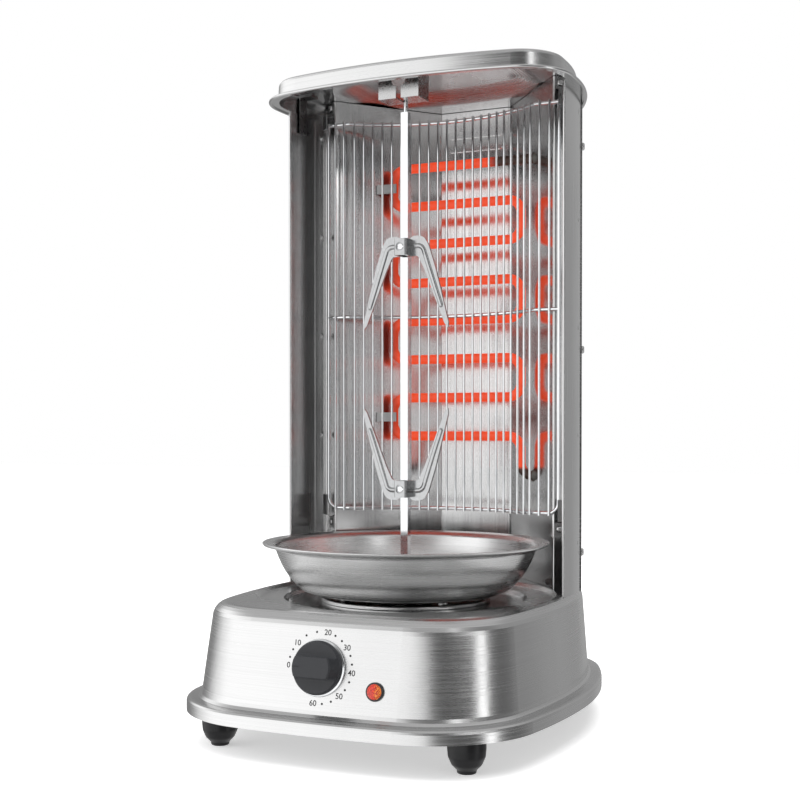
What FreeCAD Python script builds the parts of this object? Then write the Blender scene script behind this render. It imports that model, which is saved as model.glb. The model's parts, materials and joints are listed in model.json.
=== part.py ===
import FreeCAD, Part
import math
import os

# Upright rotisserie oven: a drafted base with the timer and the drive, a three-sided tower with
# the heater behind a wire grille, and a pressed lid that carries the top of the spit.
# Millimetres, +Z up, -Y to the front. Everything is drawn about the spit's axis and is moved at
# export, so that the origin lies on the floor under the middle of the footprint.

V = FreeCAD.Vector
UP = V(0, 0, 1)
FRONT = V(0, -1, 0)

# ---- driving dimensions ---------------------------------------------------------------------
BASE_HALF = 145.0           # half width of the skirt
BASE_FRONT = -164.8
BASE_REAR = 188.0
AXIS_Y = -(BASE_FRONT + BASE_REAR) / 2      # where the spit's axis stands, from the footprint's middle
SKIRT_Z = 25.0
LEDGE_Z = 35.0
LEDGE_ROUND = 5.0           # hollow where the ledge meets the wall
LEDGE = 11.5                # how far the wall stands in from the skirt
TOP_Z = 105.0
TOP_INSET = 18.0            # the drafted wall's inset at the top
BASE_LEAN = 6.0             # how far the top lies behind the skirt's middle
TOP_ROUND = 11.0
SHEET = 1.0                 # sheet metal
WALL_DRAFT = (TOP_INSET - LEDGE) / (TOP_Z - LEDGE_Z - LEDGE_ROUND)
BOTTOM_Z = SKIRT_Z + 2.2    # underside of the bottom plate
BOTTOM_T = 1.2
TAB_RUN = 34.0              # how far the corner tabs over the bottom plate reach in
FEET = [(sx * 98, y) for sx in (-1, 1) for y in (-119, 128)]
FOOT_R = 13.5
FOOT_BORE = 9.0             # depth of the counterbore in a foot
SCREW_HOLE = 1.7            # clearance radius for the 3 mm screws
CORD_R = 6.0
CORD_X = -45.0
CORD_Z = 58.0

DISH_R = 119.0              # pressed rings of the base's top
RING_R = 96.0
DISH_Z = 101.8
RING_Z = 99.0
SEAT_R = 67.0               # plate under the drip pan
SEAT_Z = 102.0
PAN_Z = 104.6               # underside of the drip pan
PAN_RIM_Z = 145.6
PAN_R = 113.3

LID_LIP_Z = 504.0
TOWER_HALF = 121.5
TOWER_WIDE_Y = 30.0         # where the tower is widest, which is its front edge
TOWER_REAR = 162.0
TOWER_TOP = LID_LIP_Z       # the lid's lip rests on the sheets
WALL_END_Y = 118.0          # where the side walls pass behind the rear cover's edge
WALL_SCREW_Y = 108.0
WALL_SCREW_Z = (132.0, 300.0, 468.0)
RIVET_Y = 79.0              # rivets that hold the reflectors' laps on the walls
RIVET_Z = (142.0, 229.0, 316.0, 403.0, 490.0)
LAP = (71.0, 88.0)          # the reflectors' laps on the walls, front and rear edge
VENT_ROWS = (140, 150, 160, 170, 452, 462, 472, 482, 492)
FLANGE_FRONT = (99.0, 72.0)         # folded corner between the flange and the reflector
REFLECTOR_REAR = (33.0, 156.0)
REFLECTOR_TOP = 518.6
REFLECTOR_T = 0.8
RIB_Z = (474.0, 486.0, 498.0)       # pressed ribs of the rear reflector

LID_TOP_Z = 520.0
LID_CROWN = 8.0             # how much the lid's middle rises above its edge
LID_HALF = 130.0
LID_FRONT = -31.0
BRACKET_SCREW = (22.0, -4.0)        # screws of the spit's upper bracket, through the lid
LID_CLEAR_X = 111.5         # the reflectors are cut back here, inside the lid's wall
LID_LIP = 7.5               # width of the rolled lip
LID_REAR = TOWER_REAR + 8.5
CROWN_MARGIN = 40.0         # flat margin round the crown
CROWN_RUN = 30.0            # over which it rises

SPIT = 6.0                  # square bar
SPIT_TOP = 483.5
SPIT_BOTTOM = 94.5
PIN_R = 1.7
PIN_TOP = 507.0
SPIT_FIT = 0.1              # play of the bar in what turns with it

GRILLE_TOP = 497.5
GRILLE_MID = 331.0
GRILLE_BOTTOM = 166.0
GRILLE_HALF = 104.0
GRILLE_EDGE_Y = 70.0
GRILLE_ARC_HALF = 84.0
GRILLE_ARC_Y = 99.0
FRAME_R = 1.6
WIRE_R = 1.0
ARC_WIRES = 22
WING_WIRES = 2

HEATER_Y = 108.0
HEATER_HALF = 59.0          # half width to the tube's centre line
HEATER_BEND = 11.0
HEATER_R = 4.0
HEATER_TOP = 462.0
HEATER_PITCH = 33.4
HEATER_BARS = 9
BUSH_R = 5.0
CLIP_T = 1.0
CLIP_FOOT_Y = 109.0         # where the heater's clips are screwed to the left cheek
HEATER_CLIP_Z = (HEATER_TOP - HEATER_PITCH / 2, HEATER_TOP - HEATER_PITCH * 6.5)

KNOB_Z = 69.0
KNOB_X = 0.0
KNOB_R = 18.7
KNOB_DEPTH = 12.0
KNOB_FRONT_R = 14.4
LAMP_X = 43.0
LAMP_Z = 56.0
LAMP_R = 6.5
LAMP_NECK_R = 4.9
LAMP_YAW = 3.45             # the bowed front wall faces this much to the side at the lamp
TIMER_NECK_R = 5.1
KNOB_LIFT = 2.2             # gap between the panel and the knob's back
PANEL_TILT = math.degrees(math.atan(WALL_DRAFT + BASE_LEAN / (TOP_Z - LEDGE_Z)))
SHAFT_R = 3.0

MOTOR_R = 24.5
MOTOR_TOP = 70.0
DRIVE_R = 6.5               # turned body of the coupling

FORK_UP_Z = 377.0           # middle of each fork's hub
FORK_LOW_Z = 187.0
FORK_T = 2.2                # thickness of the arms
HUB_FRONT = 11.5            # how far the hub stands out in front of the axis
BORE_R = 3.5                # counterbore round the fork's set screw
FORK_SCREW_R = 2.4


# ---- helpers --------------------------------------------------------------------------------
def export(name, solids):
    """Write one named piece, or one group of identical pieces, moved to the row's origin."""
    shape = solids if isinstance(solids, Part.Shape) else Part.makeCompound(solids)
    if shape.ShapeType != "Compound":
        shape = Part.makeCompound(shape.Solids)
    shape.translate(V(0, AXIS_Y, 0))
    shape.exportStep(f"parts/{name}.step")


def both(shape):
    """A shape and its mirror image across the middle plane."""
    return [shape, shape.mirror(V(0, 0, 0), V(1, 0, 0))]


def mirrored(shape):
    return shape.mirror(V(0, 0, 0), V(1, 0, 0))


def rounded_wire(points, radii, closed=False):
    """Straight runs through the points, with a tangent arc of the given radius at each corner."""
    count = len(points)
    points = [V(*p) for p in points]
    if not hasattr(radii, "__len__"):
        radii = [radii] * count
    starts, edges = [], []
    ends = []
    for i, p in enumerate(points):
        inner = closed or 0 < i < count - 1
        if not inner or radii[i] <= 0:
            starts.append(p)
            ends.append(p)
            edges.append(None)
            continue
        a = (points[i - 1] - p).normalize()
        b = (points[(i + 1) % count] - p).normalize()
        half = a.getAngle(b) / 2
        reach = radii[i] / math.tan(half)
        middle = (a + b).normalize()
        centre = p + middle * (radii[i] / math.sin(half))
        starts.append(p + a * reach)
        ends.append(p + b * reach)
        edges.append(Part.Arc(starts[-1], centre - middle * radii[i], ends[-1]).toShape())
    out = []
    last = count if closed else count - 1
    for i in range(count):
        if edges[i] is not None:
            out.append(edges[i])
        following = starts[(i + 1) % count]
        if i < last and ends[i].distanceToPoint(following) > 1e-6:
            out.append(Part.LineSegment(ends[i], following).toShape())
    return Part.Wire(out)


def revolved(profile, radii=0, axis=UP, at=V(0, 0, 0)):
    """A solid of revolution: the profile is (radius, height) points about the axis."""
    wire = rounded_wire([(r, 0, z) for r, z in profile], radii, closed=True)
    solid = Part.Face(wire).revolve(V(0, 0, 0), UP, 360)
    solid = Part.makeSolid(solid) if solid.ShapeType != "Solid" else solid
    solid.Placement = FreeCAD.Placement(at, FreeCAD.Rotation(UP, axis))
    return solid


def tube(path, radius):
    """A round bar along a path of lines and tangent arcs."""
    first = path.OrderedEdges[0]
    start = first.valueAt(first.FirstParameter)
    along = first.tangentAt(first.FirstParameter)
    if path.OrderedVertexes[0].Point.distanceToPoint(start) > 1e-6:
        start = first.valueAt(first.LastParameter)
        along = first.tangentAt(first.LastParameter) * -1
    profile = Part.Wire(Part.makeCircle(radius, start, along))
    return path.makePipeShell([profile], True, False)


def prism(points, direction, radii=0):
    """A flat outline with rounded corners, pushed along a direction."""
    return Part.Face(rounded_wire(points, radii, closed=True)).extrude(V(*direction))


def box(x, y, z):
    """A box from three (low, high) ranges."""
    return Part.makeBox(x[1] - x[0], y[1] - y[0], z[1] - z[0], V(x[0], y[0], z[0]))


def turned(shape, angle, axis=UP, centre=V(0, 0, 0)):
    copy = shape.copy()
    copy.rotate(centre, axis, angle)
    return copy


def moved(shape, *offset):
    copy = shape.copy()
    copy.translate(V(*offset))
    return copy


def cap_screw(at, axis, head_r=3.2, head_h=2.0, shank_r=1.5, length=6.0):
    """A pan-head screw: the axis points out of the head; a cross is cut in its crown."""
    profile = [(0, -length), (shank_r, -length), (shank_r, 0), (head_r, 0), (head_r, head_h), (0, head_h)]
    screw = revolved(profile, [0, 0.3, 0, 0.2, head_h * 0.8, 0])
    depth = head_h * 0.55
    for size in ((head_r * 1.1, 0.7), (0.7, head_r * 1.1)):
        screw = screw.cut(Part.makeBox(size[0], size[1], depth, V(-size[0] / 2, -size[1] / 2, head_h - depth)))
    screw.Placement = FreeCAD.Placement(at, FreeCAD.Rotation(UP, axis))
    return screw


class Plan:
    """A closed outline of eight tangent arcs, left and right alike, that can be inset exactly."""

    def __init__(self, half, wide_y, front, rear, radii):
        self.half, self.wide_y, self.front, self.rear = half, wide_y, front, rear
        self.r_front, self.rc_front, self.r_side, self.r_side_rear, self.rc_rear, self.r_rear = radii

    @staticmethod
    def corner(a, ra, b, rb, outward):
        """Centre of the corner arc that touches two circles from inside."""
        gap = b - a
        distance = gap.Length
        along = (ra * ra - rb * rb + distance * distance) / (2 * distance)
        across = math.sqrt(ra * ra - along * along)
        unit = gap * (1 / distance)
        foot = a + unit * along
        normal = V(-unit.y, unit.x, 0)
        return max((foot + normal * across, foot - normal * across), key=lambda p: p.dot(outward))

    def wire(self, z, inset=0.0):
        def end(sign, edge_y, r_end, rc, r_side):
            mid_end = V(0, edge_y - sign * r_end, 0)
            mid_side = V(self.half - r_side, self.wide_y, 0)
            mid_corner = self.corner(mid_end, r_end - rc, mid_side, r_side - rc, V(1, sign, 0))
            touch_end = mid_corner + (mid_corner - mid_end).normalize() * (rc - inset)
            touch_side = mid_corner + (mid_corner - mid_side).normalize() * (rc - inset)
            middle = ((touch_end + touch_side) * 0.5 - mid_corner).normalize()
            bulge = mid_corner + middle * (rc - inset)
            angle = math.asin((touch_side.y - self.wide_y) / (r_side - inset)) / 2
            side = mid_side + V(math.cos(angle), math.sin(angle), 0) * (r_side - inset)
            return touch_end, bulge, touch_side, side

        tip = V(0, self.front + inset, 0)
        tail = V(0, self.rear - inset, 0)
        wide = V(self.half - inset, self.wide_y, 0)
        f_end, f_bulge, f_side, f_mid = end(-1, self.front, self.r_front, self.rc_front, self.r_side)
        r_end, r_bulge, r_side, r_mid = end(1, self.rear, self.r_rear, self.rc_rear, self.r_side_rear)

        def flip(p):
            return V(-p.x, p.y, 0)

        runs = [(flip(f_end), tip, f_end), (f_end, f_bulge, f_side), (f_side, f_mid, wide),
                (wide, r_mid, r_side), (r_side, r_bulge, r_end), (r_end, tail, flip(r_end)),
                (flip(r_end), flip(r_bulge), flip(r_side)), (flip(r_side), flip(r_mid), flip(wide)),
                (flip(wide), flip(f_mid), flip(f_side)), (flip(f_side), flip(f_bulge), flip(f_end))]
        wire = Part.Wire([Part.Arc(*run).toShape() for run in runs])
        wire.translate(V(0, 0, z))
        return wire

    def prism(self, low, high, inset=0.0):
        return Part.Face(self.wire(low, inset)).extrude(V(0, 0, high - low))

    def stack(self, levels, lean=None):
        """A solid through (z, inset) sections, straight between them; lean moves each one back."""
        wires = []
        for z, inset in levels:
            wire = self.wire(z, inset)
            wire.translate(V(0, lean(z) if lean else 0, 0))
            wires.append(wire)
        return Part.makeLoft(wires, True, True)


BASE_PLAN = Plan(BASE_HALF, 5.6, BASE_FRONT, BASE_REAR, (733, 84, 578, 348, 78, 420))
TOWER_PLAN = Plan(TOWER_HALF, TOWER_WIDE_Y, -60.0, TOWER_REAR, (500, 40, 1200, 300, 44, 300))
LID_PLAN = Plan(LID_HALF, 30.0, LID_FRONT, LID_REAR, (478, 45.5, 1500, 215, 52, 308))
CROWN_PLAN = Plan(LID_HALF - CROWN_MARGIN, 70.0, LID_FRONT + CROWN_MARGIN, LID_REAR - CROWN_MARGIN,
                  (438, 44, 900, 700, 44, 268))


# ---- base -----------------------------------------------------------------------------------
def lean_back(z):
    """The base's wall leans back a little towards the top, so its front slopes more than its rear."""
    return BASE_LEAN * max(0.0, z - LEDGE_Z) / (TOP_Z - LEDGE_Z)


def wall_inset(z):
    """How far the wall stands in from the skirt."""
    return LEDGE + WALL_DRAFT * (z - LEDGE_Z - LEDGE_ROUND)


def panel_face(x, z):
    """How far forward the front wall's outer face lies."""
    inset = wall_inset(z)
    r = BASE_PLAN.r_front - inset
    return BASE_FRONT + inset + r - math.sqrt(r * r - x * x) + lean_back(z)


def on_panel(shape, x, z, yaw=0.0):
    """Stand a shape, drawn up from z = 0, square on the sloping front wall; its y points up."""
    turn = FreeCAD.Rotation(UP, yaw) * FreeCAD.Rotation(V(1, 0, 0), 90 - PANEL_TILT)
    shape.Placement = FreeCAD.Placement(V(x, panel_face(x, z), z), turn) * shape.Placement
    return shape


def base_levels(thickness):
    """The base's side profile as (z, inset) from the skirt to the round at the top."""
    levels = [(SKIRT_Z, 0), (SKIRT_Z + 7, 0)]
    for step in (30, 60, 90):                      # round over the skirt's upper edge
        a = math.radians(step)
        levels.append((SKIRT_Z + 7 + 3 * math.sin(a), 3 * (1 - math.cos(a))))
    for step in (30, 60, 90):                      # hollow where the ledge meets the wall
        a = math.radians(step)
        levels.append((LEDGE_Z + LEDGE_ROUND * (1 - math.cos(a)), LEDGE - LEDGE_ROUND * (1 - math.sin(a))))
    round_z = TOP_Z - TOP_ROUND
    foot = wall_inset(round_z)
    for step in (0, 15, 30, 45, 60, 75, 90):
        a = math.radians(step)
        levels.append((round_z + TOP_ROUND * math.sin(a), foot + TOP_ROUND * (1 - math.cos(a))))
    return [(z - thickness if z > LEDGE_Z + 10 else z, inset + thickness) for z, inset in levels]


def dish(thickness=0.0):
    """What the pressed rings take out of the base's top."""
    t = thickness
    profile = [(0, TOP_Z + 5), (DISH_R + t, TOP_Z + 5), (DISH_R + t, TOP_Z), (DISH_R - 4 + t, DISH_Z - t),
               (RING_R + t, DISH_Z - t), (RING_R - 3 + t, RING_Z - t), (0, RING_Z - t)]
    return revolved(profile, [0, 0, 1.5, 2.0, 1.0, 1.2, 0])


def base_solid():
    return BASE_PLAN.stack(base_levels(0.0), lean_back).cut(dish())


def corner_tabs():
    """The housing's tabs over the bottom plate, one at each corner, that the foot screws bite in."""
    z = BOTTOM_Z + BOTTOM_T
    ring = BASE_PLAN.prism(z, z + BOTTOM_T, SHEET / 2).cut(BASE_PLAN.prism(z - 1, z + 3, TAB_RUN))
    runs = ((-200, -90), (100, 200))
    corners = [box(sorted((s * 70, s * 200)), y, (z - 1, z + 3)) for s in (-1, 1) for y in runs]
    tabs = ring.common(Part.makeCompound(corners))
    for x, y in FEET:
        tabs = tabs.cut(Part.makeCylinder(SCREW_HOLE, 10, V(x, y, z - 2), UP))
    return tabs


def base_housing():
    inside = BASE_PLAN.stack(base_levels(SHEET), lean_back).cut(dish(SHEET))
    inside = inside.fuse(BASE_PLAN.prism(SKIRT_Z - 1, SKIRT_Z + 2, SHEET))
    shell = base_solid().cut(inside).fuse(corner_tabs())
    shell = shell.cut(on_panel(Part.makeCylinder(TIMER_NECK_R + 0.4, 20, V(0, 0, -10), UP), KNOB_X, KNOB_Z))
    lamp_hole = Part.makeCylinder(LAMP_NECK_R + 0.1, 20, V(0, 0, -10), UP)
    shell = shell.cut(on_panel(lamp_hole, LAMP_X, LAMP_Z, LAMP_YAW))
    shell = shell.cut(Part.makeCylinder(10.0, 20, V(0, 0, RING_Z - 10), UP))
    cord_hole = Part.makeCylinder(CORD_R + 0.1, 20, V(0, 0, -10), UP)
    cord_hole.Placement = cord_place() * cord_hole.Placement
    return shell.cut(cord_hole)


def base_bottom():
    """The plate that closes the base, with vent slots under the motor."""
    plate = BASE_PLAN.prism(BOTTOM_Z, BOTTOM_Z + BOTTOM_T, SHEET + 0.3)
    for row in range(7):
        y = -36 + 12 * row
        for x in (-34, 34):
            slot = prism([(x - 24, y - 2, 20), (x + 24, y - 2, 20), (x + 24, y + 2, 20), (x - 24, y + 2, 20)],
                         (0, 0, 20), 1.9)
            plate = plate.cut(slot)
    for x, y in FEET:
        plate = plate.cut(Part.makeCylinder(SCREW_HOLE, 20, V(x, y, 20), UP))
    return plate


def foot(x, y):
    """A domed rubber foot with a small flat pad, counterbored for its screw."""
    r, top = FOOT_R, BOTTOM_Z
    dome = [(0, 0), (6.5, 0), (7.0, 2.4), (10.6, 6.0), (13.0, 11.5), (r, 17.0), (r, top), (0, top)]
    body = revolved(dome, [0, 0.8, 0.6, 5, 6, 8, 0.8, 0])
    body = body.cut(Part.makeCylinder(SCREW_HOLE, top, V(0, 0, 0), UP))
    body = body.cut(Part.makeCylinder(3.6, FOOT_BORE, V(0, 0, 0), UP))
    return moved(body, x, y, 0)


def foot_screw(x, y):
    return cap_screw(V(x, y, FOOT_BORE), V(0, 0, -1), 3.3, 2.2, 1.65, SKIRT_Z - 2)


def pan_seat():
    """The plate under the drip pan: rolled edge, low boss and three pips that carry the pan."""
    profile = [(10.6, RING_Z), (SEAT_R, RING_Z), (SEAT_R, SEAT_Z), (SEAT_R - 6, SEAT_Z),
               (SEAT_R - 9, RING_Z + 1.2), (24, RING_Z + 1.2), (21, PAN_Z), (10.6, PAN_Z)]
    plate = revolved(profile, [0, 0.6, 1.4, 1.4, 1.5, 2.0, 1.5, 0.3])
    for k in range(3):
        a = math.radians(90 + 120 * k)
        pip = Part.makeSphere(4.0, V(48 * math.cos(a), 48 * math.sin(a), PAN_Z - 4.0))
        pip = pip.cut(box((-80, 80), (-80, 80), (80, RING_Z + 0.6)))
        plate = plate.fuse(pip)
    return plate


# ---- controls -------------------------------------------------------------------------------
def knob():
    """The timer's knob: a tapered drum with a wide grip bar between two sunk segments."""
    deep, low, half_bar, front_r = KNOB_DEPTH, 4.0, 6.2, KNOB_FRONT_R
    drum = revolved([(0, 0), (KNOB_R, 0), (KNOB_R, 2.6), (KNOB_R - 0.8, 3.2), (front_r, deep), (0, deep)],
                    [0, 0.4, 0.4, 0.6, 1.6, 0])
    for side in (-1, 1):
        sunk = prism([(-30, side * half_bar, low), (-30, side * (half_bar + 1.6), deep + 9),
                      (-30, side * 30, deep + 9), (-30, side * 30, low)], (60, 0, 0), [3.0, 0, 0, 0])
        drum = drum.cut(sunk)
    pointer = box((-KNOB_R, -front_r + 6), (-0.45, 0.45), (deep - 0.5, deep + 1))
    drum = drum.cut(pointer).cut(Part.makeCylinder(SHAFT_R + 0.02, 10, V(0, 0, -1), UP))
    drum.translate(V(0, 0, KNOB_LIFT))
    return on_panel(drum, KNOB_X, KNOB_Z)


def knob_ring():
    """The bright ring on the panel, behind the knob."""
    ring = revolved([(6.0, 0.0), (KNOB_R + 1.2, 0.0), (KNOB_R + 1.2, 1.2), (KNOB_R - 1.0, 1.9), (6.0, 1.9)],
                    [0, 0.3, 0.6, 0.3, 0])
    return on_panel(ring, KNOB_X, KNOB_Z).cut(base_solid())


def timer_body():
    """The clockwork timer: a drum behind a mounting plate, with its threaded neck in the panel."""
    drum = Part.makeCylinder(21, 24, V(0, -1, -30), UP)
    plate = box((-27, 27), (-20, 14), (-6.2, -4.0))
    neck = Part.makeCylinder(TIMER_NECK_R, 6, V(0, 0, -4.2), UP)
    tabs = [box((s * 6 - 3, s * 6 + 3), (-8, -7), (-38, -28)) for s in (-1, 1)]
    body = drum.fuse([plate, neck] + tabs).cut(Part.makeCylinder(SHAFT_R + 0.05, 30, V(0, 0, -16), UP))
    return on_panel(body, KNOB_X, KNOB_Z)


def timer_shaft():
    return on_panel(Part.makeCylinder(SHAFT_R, 21, V(0, 0, -11), UP), KNOB_X, KNOB_Z)


def lamp_bezel():
    """The lamp's holder: flange, neck through the panel and the socket behind it."""
    holder = revolved([(4.2, -16), (6.4, -16), (6.4, -3.5), (LAMP_NECK_R, -3.5), (LAMP_NECK_R, 0), (LAMP_R, 0),
                       (LAMP_R, 1.4), (LAMP_R - 0.8, 2.0), (4.2, 2.0)], [0, 0, 0, 0, 0, 0.2, 0.5, 0.3, 0])
    return on_panel(holder, LAMP_X, LAMP_Z, LAMP_YAW)


def lamp_lens():
    lens = revolved([(0, -14), (4.1, -14), (4.1, 1.0), (5.4, 2.0), (4.0, 4.2), (0, 5.0)],
                    [0, 0, 0, 0.4, 2.0, 0])
    lens = lens.cut(revolved([(4.15, 0.0), (9, 0.0), (9, 2.0), (4.15, 2.0)]))
    return on_panel(lens, LAMP_X, LAMP_Z, LAMP_YAW)


# ---- drive ----------------------------------------------------------------------------------
def drive_motor():
    """The flat synchronous motor with its gear head."""
    can = revolved([(0, MOTOR_TOP - 22), (MOTOR_R, MOTOR_TOP - 22), (MOTOR_R, MOTOR_TOP - 4), (0, MOTOR_TOP - 4)],
                   [0, 2, 1, 0])
    ears = box((-33, 33), (-8, 8), (MOTOR_TOP - 5, MOTOR_TOP - 4))
    can = can.fuse(ears)
    for x in (-29, 29):
        can = can.cut(Part.makeCylinder(2.0, 5, V(x, 0, MOTOR_TOP - 7), UP))
    return can


def gear_head():
    z = MOTOR_TOP
    return revolved([(4.2, z - 4), (20, z - 4), (20, z + 2), (8, z + 2), (8, z + 4), (4.2, z + 4)],
                    [0, 0, 1, 0.5, 0.5, 0])


def motor_bracket():
    """A folded hat that hangs the motor under the top."""
    z = MOTOR_TOP - 4.0
    top = RING_Z - SHEET
    floor = box((-36, 36), (-25, 25), (z, z + 1.5))
    floor = floor.cut(Part.makeCylinder(20.3, 5, V(0, 0, z - 1), UP))
    for x in (-29, 29):
        floor = floor.cut(Part.makeCylinder(1.7, 5, V(x, 0, z - 1), UP))
    for side in (-1, 1):
        leg = box(sorted((side * 34.5, side * 36)), (-25, 25), (z, top))
        lip = box(sorted((side * 36, side * 48)), (-25, 25), (top - 1.5, top))
        floor = floor.fuse([leg, lip])
    return floor.removeSplitter()


def drive_coupling():
    """The turned coupling: a square socket for the spit above, the motor's shaft below."""
    body = revolved([(0, MOTOR_TOP - 2), (4.1, MOTOR_TOP - 2), (4.1, MOTOR_TOP + 5), (DRIVE_R, MOTOR_TOP + 5),
                     (DRIVE_R, RING_Z + 2.5), (0, RING_Z + 2.5)], [0, 0.3, 0, 0.3, 0.6, 0])
    half = SPIT / 2 + SPIT_FIT
    return body.cut(box((-half, half), (-half, half), (SPIT_BOTTOM - 1.0, RING_Z + 5)))


def drive_bush():
    """The bearing pressed in the base's top, round the coupling."""
    inner = DRIVE_R + 0.05
    return revolved([(inner, RING_Z - 9), (12.5, RING_Z - 9), (12.5, RING_Z - SHEET), (10.0, RING_Z - SHEET),
                     (10.0, RING_Z + 1.0), (inner, RING_Z + 1.0)], [0, 0.5, 0, 0, 0.3, 0])


def motor_screws():
    return [cap_screw(V(x, 0, MOTOR_TOP - 5.0), V(0, 0, -1), 3.0, 1.8, 1.6, 5.0) for x in (-29, 29)]


def terminal_block():
    """The three-way block where the wires join, on the bottom plate."""
    low = BOTTOM_Z + BOTTOM_T
    block = box((-88, -52), (104, 120), (low, low + 15))
    for x in (-82, -70, -58):
        block = block.cut(Part.makeCylinder(2.6, 9, V(x, 112, low + 8), UP))
        block = block.cut(Part.makeCylinder(2.0, 20, V(x, 102, low + 5), V(0, 1, 0)))
    return block


def cord_gland():
    """The strain relief in the rear wall, where the mains lead enters."""
    gland = revolved([(3.6, -14), (8.0, -14), (8.0, -1.8), (CORD_R, -1.6), (CORD_R, 0.4), (9.0, 0.4), (9.0, 3.0),
                      (6.2, 4.2), (5.0, 15.0), (3.6, 15.0)], [0, 1, 0, 0, 0, 0.8, 0.8, 1.5, 0.8, 0.4])
    gland.Placement = cord_place()
    return gland


def cord_place():
    """Where the mains lead enters: a point on the rear wall's outer face, turned square to it."""
    inset = wall_inset(CORD_Z)
    r = BASE_PLAN.r_rear - inset
    face = BASE_REAR - inset - r + math.sqrt(r * r - CORD_X * CORD_X) + lean_back(CORD_Z)
    out = V(CORD_X / r, math.sqrt(1 - (CORD_X / r) ** 2), 0)
    return FreeCAD.Placement(V(CORD_X, face, CORD_Z), FreeCAD.Rotation(UP, out))


# ---- drip pan and spit ----------------------------------------------------------------------
def drip_pan():
    """The spun pan: rolled rim, curved wall, flat floor and a collar round the spit."""
    t = 1.0
    z = PAN_Z
    outer = [(8.0, z), (66, z), (80, z + 2.2), (94.5, z + 14), (103.5, PAN_RIM_Z - 4),
             (PAN_R - 1, PAN_RIM_Z - 2.2), (PAN_R, PAN_RIM_Z - 0.6)]
    inner = [(PAN_R - 0.8, PAN_RIM_Z), (PAN_R - 7, PAN_RIM_Z - 1.0), (102.5, PAN_RIM_Z - 3.2), (93.6, z + 14.6),
             (79.6, z + 3.3), (66, z + t), (11.0, z + t), (9.6, z + 13), (8.0, z + 13)]
    radii = [0.4, 12, 20, 60, 3.5, 1.0, 0.4, 0.4, 3, 3.5, 60, 20, 12, 2.0, 0.6, 0.5]
    return revolved(outer + inner, radii)


def spit_rod():
    """A square bar with a pointed foot and a thin round pin at its top."""
    h = SPIT / 2
    bar = box((-h, h), (-h, h), (SPIT_BOTTOM + 3, SPIT_TOP))
    square = [(-h, -h), (h, -h), (h, h), (-h, h), (-h, -h)]
    low = Part.makePolygon([V(x * 0.6, y * 0.6, SPIT_BOTTOM) for x, y in square])
    high = Part.makePolygon([V(x, y, SPIT_BOTTOM + 3) for x, y in square])
    pin = revolved([(0, SPIT_TOP - 1), (PIN_R, SPIT_TOP - 1), (PIN_R, PIN_TOP), (0, PIN_TOP)], [0, 0, 0.8, 0])
    return bar.fuse([Part.makeLoft([low, high], True, True), pin]).removeSplitter()


def fork_hub():
    """The strap looped round the spit, drawn at z = 0: a square bore, open to the front inside."""
    h, w, tall = SPIT / 2 + SPIT_FIT, 5.3, 6.6
    hub = box((-w, w), (-HUB_FRONT, h + 1.7), (-tall, tall))
    hub = hub.makeFillet(2.0, [e for e in hub.Edges if abs(e.tangentAt(e.FirstParameter).z) > 0.9])
    return hub, box((-h, h), (-HUB_FRONT + 1.9, h), (-20, 20))


def fork_arm():
    """The right arm of a fork that points down: a stamped plate with a bead along its middle."""
    outline = [(3, 6.6), (7, 9.2), (15.5, 9.2), (20, 1.6), (25.5, -15.7), (29.4, -30.5), (36.6, -59.0),
               (36.4, -64.0), (33.6, -60.5), (21.4, -30.0), (16.5, -17.7), (11.0, -6.6), (3, -6.6)]
    radii = [0, 4, 7, 9, 60, 60, 2.5, 0.3, 6, 60, 30, 3, 0]
    plate = prism([(x, -FORK_T / 2, z) for x, z in outline], (0, FORK_T, 0), radii)
    middle = [(4.5, 0, 1.3), (14.8, 0, 1.3), (25.3, 0, -30.5), (30.6, 0, -46.0)]
    bead = tube(rounded_wire(middle, [0, 5.5, 40, 0]), 2.2)
    return plate.fuse([bead, Part.makeSphere(2.2, V(30.6, 0, -46.0))])


def fork(z, upward):
    """A fork: the looped hub, its set screw's bore and two stamped arms."""
    hub, bore = fork_hub()
    arm = fork_arm()
    whole = hub.fuse([arm, mirrored(arm)]).cut(bore)
    whole = whole.cut(Part.makeCylinder(FORK_SCREW_R + 0.05, 20, V(0, 0, 0), FRONT))
    whole = whole.cut(Part.makeCylinder(BORE_R, 5, V(0, -HUB_FRONT + 1.0, 0), FRONT))
    if upward:
        whole = whole.mirror(V(0, 0, 0), UP)
    return moved(whole, 0, 0, z)


def fork_screw(z):
    """The slotted set screw that clamps a fork on the bar."""
    start = SPIT / 2 + SPIT_FIT + 0.4
    end = HUB_FRONT - 0.5
    screw = revolved([(0, start), (1.5, start), (FORK_SCREW_R, start + 0.9), (FORK_SCREW_R, end), (0, end)],
                     [0, 0, 0, 0.4, 0])
    screw = screw.cut(box((-4, 4), (-0.45, 0.45), (end - 1.1, end + 1)))
    screw.Placement = FreeCAD.Placement(V(0, 0, z), FreeCAD.Rotation(V(1, 0, 0), 90))
    return screw


# ---- tower ----------------------------------------------------------------------------------
def wall_band(outer_inset, inner_inset, low, high):
    return TOWER_PLAN.prism(low, high, outer_inset).cut(TOWER_PLAN.prism(low - 1, high + 1, inner_inset))


def side_point(y):
    """A point of the right wall's outer face at z = 0, and the way that face looks."""
    r = TOWER_PLAN.r_side_rear
    lean = math.asin((y - TOWER_WIDE_Y) / r)
    return V(TOWER_HALF - r + r * math.cos(lean), y, 0), V(math.cos(lean), math.sin(lean), 0)


def through_side(y, heights):
    """What the screw holes take out of the right side at one depth."""
    point, out = side_point(y)
    holes = [Part.makeCylinder(1.6, 16, point - out * 8 + V(0, 0, z), out) for z in heights]
    return Part.makeCompound(holes)


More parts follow.
